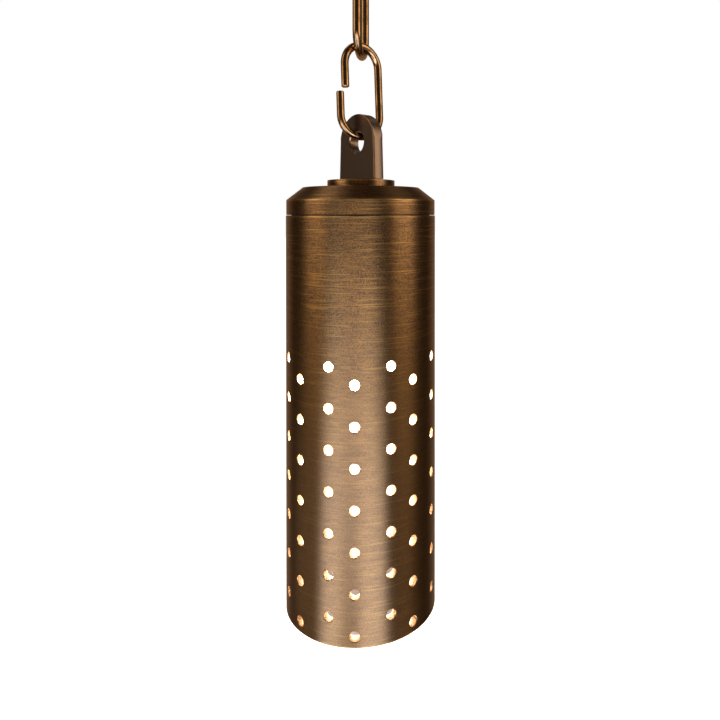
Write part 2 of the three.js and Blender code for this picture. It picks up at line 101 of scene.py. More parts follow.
def addCamera():
    data = bpy.data.cameras.new("photoCamera")
    data.sensor_width = 36
    data.lens = camera["lens"]
    data.shift_x = camera["shiftX"]
    data.shift_y = camera["shiftY"]
    data.clip_start = 0.01
    data.clip_end = 50
    place = aroundAxis(camera["azimuth"]) * camera["distance"]
    place.z = rimHeight + camera["aboveRim"]
    ahead = -aroundAxis(camera["azimuth"])
    ahead.rotate(Matrix.Rotation(-math.radians(camera["turnedRight"]), 3, "Z"))
    ahead.z = -math.tan(math.radians(camera["turnedDown"]))
    cameraObject = bpy.data.objects.new("photoCamera", data)
    cameraObject.location = place * mm
    cameraObject.rotation_mode = "QUATERNION"
    cameraObject.rotation_quaternion = ahead.to_track_quat("-Z", "Y")
    bpy.context.scene.collection.objects.link(cameraObject)
    bpy.context.scene.camera = cameraObject


addCamera()
print("camera placed")


# Nodes

smooth = {"interpolation_type": "SMOOTHSTEP"}
ofColours = {"data_type": "RGBA"}


def toLinear(hexColour):
    # sRGB hex to the linear values that the shader wants
    channels = [int(hexColour[i:i + 2], 16) / 255 for i in (1, 3, 5)]
    lin = [c / 12.92 if c <= 0.04045 else ((c + 0.055) / 1.055) ** 2.4 for c in channels]
    return (*lin, 1.0)


def addNode(tree, kind, inputs=None, settings=None):
    # A node given as an input stands for its first output, and text is a hex colour
    node = tree.nodes.new("ShaderNode" + kind)
    for name, value in (settings or {}).items():
        setattr(node, name, value)
    for socket, value in (inputs or {}).items():
        if isinstance(value, str):
            value = toLinear(value)
        if isinstance(value, bpy.types.Node):
            value = value.outputs[0]
        if isinstance(value, bpy.types.NodeSocket):
            tree.links.new(value, node.inputs[socket])
        else:
            node.inputs[socket].default_value = value
    return node


def newMaterial(name):
    material = bpy.data.materials.new(name)
    material.use_nodes = True
    material.node_tree.nodes.clear()
    return material, material.node_tree


def closeMaterial(material, shader):
    addNode(material.node_tree, "OutputMaterial", {"Surface": shader})
    return material


def evenPattern(tree, widthMm, detail, roughness=0.55):
    # Patches or grains of one width, wherever they are
    place = addNode(tree, "TexCoord").outputs["Object"]
    return addNode(tree, "TexNoise", {
        "Vector": place, "Scale": 1 / (widthMm * mm), "Detail": detail, "Roughness": roughness})


def turnedPattern(tree, lengthMm, widthMm, detail, roughness=0.55):
    # Lines that run slowly round the axis and quickly across, on walls, cones and flats alike
    place = addNode(tree, "TexCoord").outputs["Object"]
    split = addNode(tree, "SeparateXYZ", {0: place})
    flat = addNode(tree, "CombineXYZ", {0: split.outputs[0], 1: split.outputs[1]})
    radius = addNode(tree, "VectorMath", {0: flat}, {"operation": "LENGTH"})
    across = addNode(
        tree, "Math", {0: split.outputs[2], 1: radius.outputs["Value"]}, {"operation": "SUBTRACT"})
    fast = addNode(tree, "Math", {0: across, 1: widthMm * mm}, {"operation": "DIVIDE"})
    slow = addNode(tree, "VectorMath", {0: flat, "Scale": 1 / (lengthMm * mm)}, {"operation": "SCALE"})
    slow = addNode(tree, "SeparateXYZ", {0: slow})
    along = addNode(tree, "CombineXYZ", {0: slow.outputs[0], 1: slow.outputs[1], 2: fast})
    return addNode(tree, "TexNoise", {
        "Vector": along, "Scale": 1.0, "Detail": detail, "Roughness": roughness})


def twoShades(tree, pattern, low, high, first, second):
    # The first colour where the pattern is low, the second where it is high
    share = addNode(tree, "MapRange", {"Value": pattern, "From Min": low, "From Max": high}, smooth)
    mixed = addNode(tree, "Mix", {"Factor": share, "A": first, "B": second}, ofColours)
    return mixed.outputs["Result"]


def rubbedEdges(tree, colour, pattern, low, high, least, most, worn):
    # Bare metal where the mesh says that an edge is worn, and patchy there as the pattern goes
    wear = addNode(tree, "Attribute", settings={"attribute_name": "wear"}).outputs["Fac"]
    uneven = addNode(tree, "MapRange", {
        "Value": pattern, "From Min": low, "From Max": high, "To Min": least, "To Max": most}, smooth)
    rubbed = addNode(tree, "Math", {0: wear, 1: uneven}, {"operation": "MULTIPLY"})
    mixed = addNode(tree, "Mix", {"Factor": rubbed, "A": colour, "B": worn}, ofColours)
    return mixed.outputs["Result"]


# Finishes

agedBrass = {
    "dark": "#5b412b",
    "gold": "#a8783f",
    "scratch": "#c6934e",
    "worn": "#d8a765",
    "edgeTint": "#c4b2a0",
    "lineWidth": 0.28,
    "lineLength": 6.0,
    "scratchWidth": 0.5,
    "scratchLength": 24.0,
    "scratchAmount": 0.7,
    "grain": 0.35,
    "grainShare": 2.2,
    "patchSize": 30.0,
    "patchShare": 0.3,
    "cutFrom": 1.36,
    "cutTo": 2.14,
    "goldShare": 0.45,
    # the lines are painted fainter towards the foot, standing in for the bright reflection that washes them
    # out there
    "contrastAtFoot": 0.4,
    "contrastAtTop": 1.1,
    "faintLinesBelow": 85.0,
    "strongLinesAbove": 12.0,
    "roughness": 0.36,
    "roughnessSpread": 0.06,
    "anisotropic": 0.6,
    "waxWeight": 0.5,
    "waxRoughness": 0.3,
}


def brushedAgedBrass():
    # Turned brass, brushed round its axis and darkened to antique bronze under a thin wax: a low sheen
    # that the brush lines stretch upright, gold where the brush cut through the patina and on worn
    # edges. The lines stand out at the cap and are painted fainter towards the foot, standing in for
    # the bright reflection that washes them out there. Real brush lines are about 0.1 mm wide, too fine
    # to show, so they are drawn nearly three times as coarse
    look = agedBrass
    material, tree = newMaterial("brushedAgedBrass")
    place = addNode(tree, "TexCoord").outputs["Object"]
    height = addNode(tree, "SeparateXYZ", {0: place}).outputs[2]
    # Painted: the lines and scratches lose contrast towards the foot, in place of the bright reflection
    # there
    contrast = addNode(tree, "MapRange", {
        "Value": height,
        "From Min": (rimHeight - look["faintLinesBelow"]) * mm,
        "From Max": (rimHeight - look["strongLinesAbove"]) * mm,
        "To Min": look["contrastAtFoot"],
        "To Max": look["contrastAtTop"],
    }, smooth)
    lines = turnedPattern(tree, look["lineLength"], look["lineWidth"], 2.0, 0.5)
    scratches = turnedPattern(tree, look["scratchLength"], look["scratchWidth"], 1.0)
    patches = evenPattern(tree, look["patchSize"], 3.0)
    grain = evenPattern(tree, look["grain"], 1.0)

    # How much gold shows: the lines, the patches and the grain are added up and drawn apart
    cut = addNode(
        tree, "Math", {0: patches, 1: look["patchShare"], 2: lines}, {"operation": "MULTIPLY_ADD"})
    cut = addNode(tree, "Math", {0: grain, 1: look["grainShare"], 2: cut}, {"operation": "MULTIPLY_ADD"})
    apart = addNode(tree, "MapRange", {
        "Value": cut,
        "From Min": look["cutFrom"],
        "From Max": look["cutTo"],
        "To Min": -0.5,
        "To Max": 0.5,
    }, smooth)
    amount = addNode(
        tree, "Math", {0: apart, 1: contrast, 2: look["goldShare"]}, {"operation": "MULTIPLY_ADD"})
    colour = addNode(tree, "Mix", {
        "Factor": amount, "A": look["dark"], "B": look["gold"]}, ofColours).outputs["Result"]
    deep = addNode(tree, "MapRange", {
        "Value": scratches, "From Min": 0.6, "From Max": 0.7, "To Max": look["scratchAmount"]}, smooth)
    deep = addNode(tree, "Math", {0: deep, 1: contrast}, {"operation": "MULTIPLY"})
    colour = addNode(tree, "Mix", {
        "Factor": deep, "A": colour, "B": look["scratch"]}, ofColours).outputs["Result"]
    colour = rubbedEdges(tree, colour, lines, 0.38, 0.62, 0.3, 0.9, look["worn"])
    roughness = addNode(tree, "MapRange", {
        "Value": lines,
        "From Min": 0.3,
        "From Max": 0.7,
        "To Min": look["roughness"] + look["roughnessSpread"] / 2,
        "To Max": look["roughness"] - look["roughnessSpread"] / 2,
    }, smooth)
    shader = addNode(tree, "BsdfPrincipled", {
        "Base Color": colour,
        "Metallic": 1.0,
        "Roughness": roughness,
        "Anisotropic": look["anisotropic"],
        "Anisotropic Rotation": 0.25,
        "Tangent": addNode(tree, "Tangent", settings={"direction_type": "RADIAL", "axis": "Z"}),
        "Specular Tint": look["edgeTint"],
        "Coat Weight": look["waxWeight"],
        "Coat Roughness": look["waxRoughness"],
    })
    return closeMaterial(material, shader)


darkBronze = {
    "dark": "#7b5f4a",
    "light": "#896b54",
    "worn": "#c08a4a",
    "grain": 0.5,
    "grainDepth": 0.02,
    "wearPatch": 3.0,
    "roughness": 0.3,
    "lacquerRoughness": 0.3,
}


def satinDarkBronze():
    # Milled brass blackened to chocolate bronze and lacquered satin: an even fine grain, gold only
    # along the arrises
    look = darkBronze
    material, tree = newMaterial("satinDarkBronze")
    grain = evenPattern(tree, look["grain"], 3.0)
    patches = evenPattern(tree, look["wearPatch"], 2.0)
    colour = twoShades(tree, grain, 0.35, 0.7, look["dark"], look["light"])
    colour = rubbedEdges(tree, colour, patches, 0.35, 0.65, 0.1, 0.7, look["worn"])
    bump = addNode(tree, "Bump", {
        "Strength": 0.35, "Distance": look["grainDepth"] * mm, "Height": grain})
    shader = addNode(tree, "BsdfPrincipled", {
        "Base Color": colour,
        "Metallic": 0.9,
        "Roughness": look["roughness"],
        "Normal": bump,
        "Coat Weight": 1.0,
        "Coat Roughness": look["lacquerRoughness"],
    })
    return closeMaterial(material, shader)


chainBrass = {"bright": "#b98f62", "dark": "#8c6842", "patchSize": 6.0, "roughness": 0.2}


def polishedChainBrass():
    # Drawn brass wire, antiqued and tumbled: bright and coppery, with brown patina left in patches that
    # are also the duller ones
    look = chainBrass
    material, tree = newMaterial("polishedChainBrass")
    patches = evenPattern(tree, look["patchSize"], 3.0, 0.5)
    roughness = addNode(tree, "MapRange", {
        "Value": patches,
        "From Min": 0.3,
        "From Max": 0.7,
        "To Min": look["roughness"] + 0.1,
        "To Max": look["roughness"] - 0.04,
    }, smooth)
    shader = addNode(tree, "BsdfPrincipled", {
        "Base Color": twoShades(tree, patches, 0.3, 0.65, look["dark"], look["bright"]),
        "Metallic": 1.0,
        "Roughness": roughness,
    })
    return closeMaterial(material, shader)


bareBrass = {"lineLength": 20.0, "lineWidth": 0.5, "roughness": 0.55}


def stainedBrass(name, first, second, metallic):
    # Brass bare from the tool, in two near shades along the tool lines
    material, tree = newMaterial(name)
    lines = turnedPattern(tree, bareBrass["lineLength"], bareBrass["lineWidth"], 3.0)
    shader = addNode(tree, "BsdfPrincipled", {
        "Base Color": twoShades(tree, lines, 0.3, 0.7, first, second),
        "Metallic": metallic,
        "Roughness": bareBrass["roughness"],
    })
    return closeMaterial(material, shader)


def boredBrass():
    # The tube's bore as the boring bar left it, dulled pale: it spreads the lamp's light
    return stainedBrass("boredBrass", "#e6cfb4", "#efdcc6", 0.2)


def shadedDrilledBrass():
    # The walls of the drilled holes, dulled too: a darker, more peach copy of the bore's finish, painted
    # shade that keeps the lamp's light on them peach
    return stainedBrass("shadedDrilledBrass", "#d6bca4", "#e0c9b2", 0.1)


def mottled(name, first, second, grain, roughness, metallic=0.0, depth=0.01):
    # Two near shades in a fine grain of so many millimetres, with a slight relief
    material, tree = newMaterial(name)
    mottle = evenPattern(tree, grain, 3.0)
    bump = addNode(tree, "Bump", {"Strength": 0.4, "Distance": depth * mm, "Height": mottle})
    shader = addNode(tree, "BsdfPrincipled", {
        "Base Color": twoShades(tree, mottle, 0.35, 0.65, first, second),
        "Metallic": metallic,
        "Roughness": roughness,
        "Normal": bump,
    })
    return closeMaterial(material, shader)


def rolledStainlessSteel():
    # Cool grey with a mill sheen. None of it shows while the light is closed
    return mottled("rolledStainlessSteel", "#b4b3ae", "#c6c5c1", grain=0.4, roughness=0.3, metallic=1.0)


def mouldedNitrileRubber():
    # Nearly black and matt, so that the seam reads as a dark line
    return mottled("mouldedNitrileRubber", "#1b1917", "#262320", grain=0.6, roughness=0.75)


def mouldedSilicone():
    # Pale grey and slightly waxy
    return mottled("mouldedSilicone", "#b9b4a9", "#c9c4ba", grain=1.5, roughness=0.55)


def pressedSteatite():
    # Unglazed ceramic, off-white and chalky
    return mottled("pressedSteatite", "#e6dfd1", "#efe9dd", grain=0.5, roughness=0.65, depth=0.03)


def mirrorCoatedGlass():
    # Pressed glass with a mirror film, bright and faintly warm
    return mottled(
        "mirrorCoatedGlass", "#e8e2d6", "#f3efe6", grain=2.0, roughness=0.12, metallic=1.0, depth=0.005)


def polishedGlass():
    # Clear borosilicate, smooth enough to be seen by its edges alone
    material, tree = newMaterial("polishedGlass")
    shader = addNode(tree, "BsdfPrincipled", {
        "Base Color": "#f4f8f7",
        "Roughness": 0.03,
        "IOR": 1.47,
        "Transmission Weight": 1.0,
    })
    return closeMaterial(material, shader)


def litTungsten():
    # Drawn tungsten wire at white heat, which glows yellow-white
    material, tree = newMaterial("litTungsten")
    glow = addNode(tree, "Emission", {"Color": "#ffd9a0", "Strength": 60.0})
    return closeMaterial(material, glow)


finishes = {
    "agedBrass": brushedAgedBrass(),
    "darkBronze": satinDarkBronze(),
    "chainBrass": polishedChainBrass(),
    "boreBrass": boredBrass(),
    "shadedDrilledBrass": shadedDrilledBrass(),
    "steel": rolledStainlessSteel(),
    "rubber": mouldedNitrileRubber(),
    "silicone": mouldedSilicone(),
    "steatite": pressedSteatite(),
    "mirror": mirrorCoatedGlass(),
    "glass": polishedGlass(),
    "filament": litTungsten(),
}
print("finishes made:", len(finishes))


# Mesh tools

def markSharp(bm, sharpAngle):
    limit = math.radians(sharpAngle)
    for edge in bm.edges:
        edge.smooth = len(edge.link_faces) == 2 and edge.calc_face_angle(0) < limit


def meshFrom(bm, name, sharpAngle=32.0):
    bmesh.ops.recalc_face_normals(bm, faces=bm.faces)
    for face in bm.faces:
        face.smooth = True
    markSharp(bm, sharpAngle)
    mesh = bpy.data.meshes.new(name)
    bm.to_mesh(mesh)
    bm.free()
    mesh.transform(Matrix.Scale(mm, 4))
    return mesh


def turnedForm(profile, sides, closed=False, shape=None):
    # Turns a profile of (radius, height) or (radius, height, wear) about Z. shape may move a point
    bm = bmesh.new()
    wearLayer = bm.verts.layers.float.new("wear")
    rings = []
    for point in profile:
        radius, height, wear = (*point, 0.0)[:3]
        ring = []
        count = 1 if radius < 1e-6 else sides
        for step in range(count):
            turn = 2 * math.pi * step / sides
            r, z = shape(radius, height, turn) if shape else (radius, height)
            vertex = bm.verts.new((r * math.cos(turn), r * math.sin(turn), z))
            vertex[wearLayer] = wear
            ring.append(vertex)
        rings.append(ring)
    pairs = list(zip(rings, rings[1:]))
    if closed:
        pairs.append((rings[-1], rings[0]))
    for first, second in pairs:
        for step in range(sides):
            after = (step + 1) % sides
            corners = [first[step % len(first)], first[after % len(first)],
                       second[after % len(second)], second[step % len(second)]]
            unique = list(dict.fromkeys(corners))
            if len(unique) > 2:
                bm.faces.new(unique)
    return bm


def roundCorner(centre, radius, startAngle, endAngle, steps, wear=0.0):
    # Points of an arc in the profile's (radius, height) plane
    points = []
    for step in range(steps + 1):
        angle = math.radians(startAngle + (endAngle - startAngle) * step / steps)
        points.append((centre[0] + radius * math.cos(angle), centre[1] + radius * math.sin(angle), wear))
    return points


def spokes(first, second, count):
    # Unit vectors all the way round, from the first direction towards the second
    turns = [2 * math.pi * step / count for step in range(count)]
    return [first * math.cos(turn) + second * math.sin(turn) for turn in turns]


def bridge(bm, first, second, closed=True, shift=0):
    # The faces between two rows of points, where the second row is entered so many points on
    count = len(first)
    faces = []
    for step in range(count if closed else count - 1):
        after = (step + 1) % count
        across, beside = second[(after + shift) % count], second[(step + shift) % count]
        faces.append(bm.faces.new([first[step], first[after], across, beside]))
    return faces


def tubeForm(path, radius, sides, closed=False, endRounding=0.0):
    # A round bar along a list of points, carried along without twist
    bm = bmesh.new()
    count = len(path)
    tangents = []
    for i in range(count):
        if closed:
            ahead, behind = path[(i + 1) % count], path[i - 1]
        else:
            ahead, behind = path[min(i + 1, count - 1)], path[max(i - 1, 0)]
        tangents.append((ahead - behind).normalized())
    side = tangents[0].orthogonal().normalized()
    sections = []
    for place, along in zip(path, tangents):
        side = (side - along * side.dot(along)).normalized()
        sections.append((place, along, side, radius))
    if endRounding:
        sections = roundedEnds(sections, endRounding)
    rings = []
    for place, along, across, reach in sections:
        around = spokes(across, along.cross(across), sides)
        rings.append([bm.verts.new(place + spoke * reach) for spoke in around])
    pairs = list(zip(rings, rings[1:]))
    offset = 0
    if closed:
        offset = closestStart(rings[-1], rings[0])
        pairs.append((rings[-1], rings[0]))
    for index, (first, second) in enumerate(pairs):
        shift = offset if closed and index == len(pairs) - 1 else 0
        bridge(bm, first, second, True, shift)
    if not closed:
        bm.faces.new(rings[0])
        bm.faces.new(rings[-1])
    return bm


def closestStart(last, first):
    distances = [(vertex.co - last[0].co).length for vertex in first]
    return distances.index(min(distances))


def roundedEnds(sections, rounding, steps=5):
    # The cut ends are tumbled: their edges are rounded over
    result = list(sections)
    for end in (0, -1):
        place, along, across, radius = result[end]
        outward = -along if end == 0 else along
        base = place - outward * rounding
        extra = []
        for step in range(1, steps + 1):
            angle = math.pi / 2 * step / steps
            shrink = radius - rounding * (1 - math.cos(angle))
            extra.append((base + outward * rounding * math.sin(angle), along, across, shrink))
        result[end] = (base, along, across, radius)
        if end == 0:
            result = extra[::-1] + result
        else:
            result = result + extra
    return result


def looseObject(name, mesh):
    loose = bpy.data.objects.new(name, mesh)
    bpy.context.scene.collection.objects.link(loose)
    return loose


def addPiece(name, bm, materials, body, nodes=(), sharpAngle=32.0):
    mesh = meshFrom(bm, name, sharpAngle) if isinstance(bm, bmesh.types.BMesh) else bm
    mesh.name = name
    for material in materials:
        mesh.materials.append(finishes[material])
    piece = looseObject(name, mesh)
    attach(piece, body)
    if nodes:
        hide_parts(*nodes)
    return piece


def cutAway(mesh, cutter, sharpAngle=32.0):
    # Takes one mesh out of another and marks its sharp edges again
    body = looseObject("uncut", mesh)
    tool = looseObject("cutter", cutter)
    modifier = body.modifiers.new("cut", "BOOLEAN")
    modifier.operation = "DIFFERENCE"
    modifier.solver = "EXACT"
    modifier.material_mode = "INDEX"
    modifier.object = tool
    bpy.context.view_layer.update()
    graph = bpy.context.evaluated_depsgraph_get()
    result = bpy.data.meshes.new_from_object(body.evaluated_get(graph))
    bpy.data.objects.remove(body)
    bpy.data.objects.remove(tool)
    bm = bmesh.new()
    bm.from_mesh(result)
    markSharp(bm, sharpAngle)
    bm.to_mesh(result)
    bm.free()
    return result


# Chain

chain = {
    "wireSteps": 176,
    "wireSides": 28,
    "width": 21.3,
    "upperLength": 42.5,
    "upperWire": 3.6,
    "upperTurn": 41.0,
    "openLength": 42.0,
    "openWire": 3.35,
    "openSpring": 15.0,
    "openMouth": 0.6,
    "linkGap": 0.65,
    "endRounding": 0.55,
}


def linkPath(pitch, mouth, springDegrees, steps):
    # The centreline of an oval link from the middle of its left leg, and back to it. The half below
    # the middle is turned about the right leg by the angle that the link was sprung
    half = (chain["width"] - chain["openWire"]) / 2
    leg = pitch - 2 * half
    arc = math.pi * half
    length = 2 * leg + 2 * arc
    spring = math.radians(springDegrees)
    points = []
    for step in range(steps):
        share = step / (steps - 1) if mouth else step / steps
        s = mouth / 2 + share * (length - mouth)
        across = -half
        rise = s if s <= leg / 2 else s - length
        if leg / 2 < s < leg / 2 + arc:
            turn = (s - leg / 2) / half
            across = -half * math.cos(turn)
            rise = leg / 2 + half * math.sin(turn)
        elif leg / 2 + arc <= s <= 1.5 * leg + arc:
            across = half
            rise = leg + arc - s
        elif 1.5 * leg + arc < s < 1.5 * leg + 2 * arc:
            turn = (s - 1.5 * leg - arc) / half
            across = half * math.cos(turn)
            rise = -leg / 2 - half * math.sin(turn)
        angle = spring if rise < 0 or s > length / 2 else 0.0
        reach = across - half
        points.append(Vector((reach * math.sin(angle), half + reach * math.cos(angle), rise)))
    return points, half


def addChain():
    upperPitch = chain["upperLength"] - chain["upperWire"]
    points, half = linkPath(upperPitch, 0, 0, chain["wireSteps"])
    turn = Matrix.Rotation(math.radians(chain["upperTurn"]), 3, "Z")
    middle = jointHeight("link_swing") + upperPitch / 2
    points = [turn @ point + up * middle for point in points]
    bm = tubeForm(points, chain["upperWire"] / 2, chain["wireSides"], closed=True)
    addPiece("upperLink", bm, ["chainBrass"], "upper_link", ["upper_chain_link"], 60)

    openPitch = chain["openLength"] - chain["openWire"]
    points, half = linkPath(openPitch, chain["openMouth"], chain["openSpring"], chain["wireSteps"])
    spring = math.radians(chain["openSpring"])
    low = Vector((-half * math.sin(spring), half - half * math.cos(spring), -openPitch))
    level = low.rotation_difference(-up).to_matrix()
    top = jointHeight("link_swing") + chain["upperWire"] / 2 + chain["linkGap"] + chain["openWire"] / 2
    points = [level @ (point - up * openPitch / 2) + up * top for point in points]
    bm = tubeForm(points, chain["openWire"] / 2, chain["wireSides"], endRounding=chain["endRounding"])
    addPiece("openLink", bm, ["chainBrass"], "open_link", ["open_chain_link"], 60)
    print("chain made")


# Eye: a blade milled from a turned bar, with an arched top, rounded arrises and a bore

eye = {
    "width": 23.6,
    "footWidth": 24.9,
    "thickness": 5.0,
    "bore": 9.5,
    "boreEdge": 0.4,
    "arris": 0.28,
    "wearWidth": 0.35,
    "arrisSteps": 3,
    "archSteps": 72,
    "sideSteps": 14,
    "acrossSteps": 10,
    "boreSides": 64,
    "stem": 5.0,
    "seam": 0.3,
    "stemHead": 0.5,
    "stemEdge": 0.4,
}


def eyeOutline(foot, centre):
    # From the left foot up the tapered side, over the arch and down to the right foot
    half = eye["width"] / 2
    footHalf = eye["footWidth"] / 2
    side, arch = [], []
    for step in range(eye["sideSteps"]):
        share = step / eye["sideSteps"]
        side.append((footHalf + (half - footHalf) * share, foot + (centre - foot) * share))
    for step in range(eye["archSteps"] + 1):
        turn = math.pi - math.pi * step / eye["archSteps"]
        arch.append((half * math.cos(turn), centre + half * math.sin(turn)))
    return [(-x, z) for x, z in side] + arch + side[::-1]


def barRadius(height, foot, centre):
    # The turned bar that the blade is milled from
    share = min(max((height - foot) / (centre - foot), 0), 1)
    return (eye["footWidth"] + (eye["width"] - eye["footWidth"]) * share) / 2


def eyeSections():
    # Where the blade's edge is across its thickness: (inset from the outline, Y, wear)
    half = eye["thickness"] / 2
    arris = eye["arris"]
    rows = []
    for step in range(eye["arrisSteps"] + 1):
        turn = math.pi / 2 * step / eye["arrisSteps"]
        rows.append((arris * (1 - math.sin(turn)), -half + arris * (1 - math.cos(turn)), 1.0))
    for step in range(1, eye["acrossSteps"]):
        y = (-half + arris) + (2 * half - 2 * arris) * step / eye["acrossSteps"]
        rows.append((0.0, y, 0.0))
    rows += [(inset, -y, wear) for inset, y, wear in rows[eye["arrisSteps"]::-1]]
    return rows


def insetOutline(outline, inset, y, foot, centre):
    # The outline drawn in by so much, and kept inside the bar that the blade is milled from
    points = []
    for x, z in outline:
        reach = math.sqrt(barRadius(z, foot, centre) ** 2 - y * y)
        x = max(-reach, min(reach, x))
        away = Vector((x, z - centre)).normalized() if z > centre else Vector((math.copysign(1, x), 0))
        points.append((x - inset * away.x, z - inset * away.y))
    return points


def addEye():
    foot = capBox["high"].z + eye["seam"]
    centre = eyeBox["high"].z - eye["width"] / 2
    half = eye["thickness"] / 2
    outline = eyeOutline(foot, centre)
    bm = bmesh.new()
    wearLayer = bm.verts.layers.float.new("wear")

    def addRow(points, y, wear):
        row = [bm.verts.new((x, y, z)) for x, z in points]
        for vertex in row:
            vertex[wearLayer] = wear
        return row

    def circle(radius):
        turns = [2 * math.pi * step / eye["boreSides"] for step in range(eye["boreSides"])]
        return [(radius * math.cos(turn), centre + radius * math.sin(turn)) for turn in turns]

    fade = eye["wearWidth"]
    sections = [(eye["arris"] + fade, -half, 0.0)] + eyeSections() + [(eye["arris"] + fade, half, 0.0)]
    rows = [addRow(insetOutline(outline, inset, y, foot, centre), y, wear) for inset, y, wear in sections]
    for first, second in zip(rows, rows[1:]):
        bridge(bm, first, second, False)
        bm.faces.new([first[0], second[0], second[-1], first[-1]])
    edge = eye["boreEdge"]
    radius = eye["bore"] / 2
    near = [(-half, radius + edge + fade, 0), (-half, radius + edge, 0.6), (-half + edge, radius, 0.2)]
    stations = near + [(0, radius, 0)] + [(-y, reach, wear) for y, reach, wear in near[::-1]]
    rings = [addRow(circle(reach), y, wear) for y, reach, wear in stations]
    for first, second in zip(rings, rings[1:]):
        bridge(bm, first, second)
    for row, ring in ((rows[0], rings[0]), (rows[-1], rings[-1])):
        loop = [bm.edges.get((row[i - 1], row[i])) for i in range(len(row))]
        loop += [bm.edges.get((ring[i - 1], ring[i])) for i in range(len(ring))]
        bmesh.ops.triangle_fill(bm, edges=loop, use_beauty=True, use_dissolve=False)
    mesh = meshFrom(bm, "hangerEye", 40)
    piece = addPiece("hangerEye", mesh, ["darkBronze"], "housing", ["hanger_eye"])

    stemFoot, stemTop = eyeBox["low"].z, foot + eye["stemHead"]
    stem, edge = eye["stem"] / 2, eye["stemEdge"]
    profile = [(0, stemTop), (stem, stemTop), (stem, stemFoot + edge)]
    profile += [(stem - edge, stemFoot), (0, stemFoot)]
    bm = turnedForm(profile, 32)
    addPiece("hangerStem", bm, ["darkBronze"], "housing")
    print("eye made:", len(piece.data.polygons), "faces")


# Cap: one turned piece with a boss, a bevel, a skirt, and a threaded spigot inside the sleeve

cap = {
    "setIn": 0.15,
    "seam": 0.35,
    "skirt": 6.1,
    "bevelWidth": 6.8,
    "bevelHeight": 5.3,
    "arris": 0.22,
    "bossDiameter": 28.8,
    "bossHeight": 3.2,
    "cove": 1.0,
    "roof": 4.2,
    "spigotLength": 9.0,
    "spigotWall": 3.9,
    "slip": 0.25,
    "gasketLip": 0.9,
    "gasketRecess": 0.8,
    "gasketBead": 0.85,
    "gasketEdge": 0.1,
    "ringDrop": 2.2,
    "ringSection": 1.8,
    "threadPitch": 1.5,
    "threadDepth": 0.45,
    "threadFade": 0.6,
    "threadEnd": 0.5,
    "threadSteps": 44,
    "footChamfer": 0.06,
    "wearWidth": 1.0,
    "topWearWidth": 0.8,
    "bossWearWidth": 1.2,
    "bracketScrewAt": 18.0,
    "bracketScrewHole": 4.5,
    "bracketScrewDepth": 3.2,
    "sides": 240,
}
sleeveRadius = 31.75


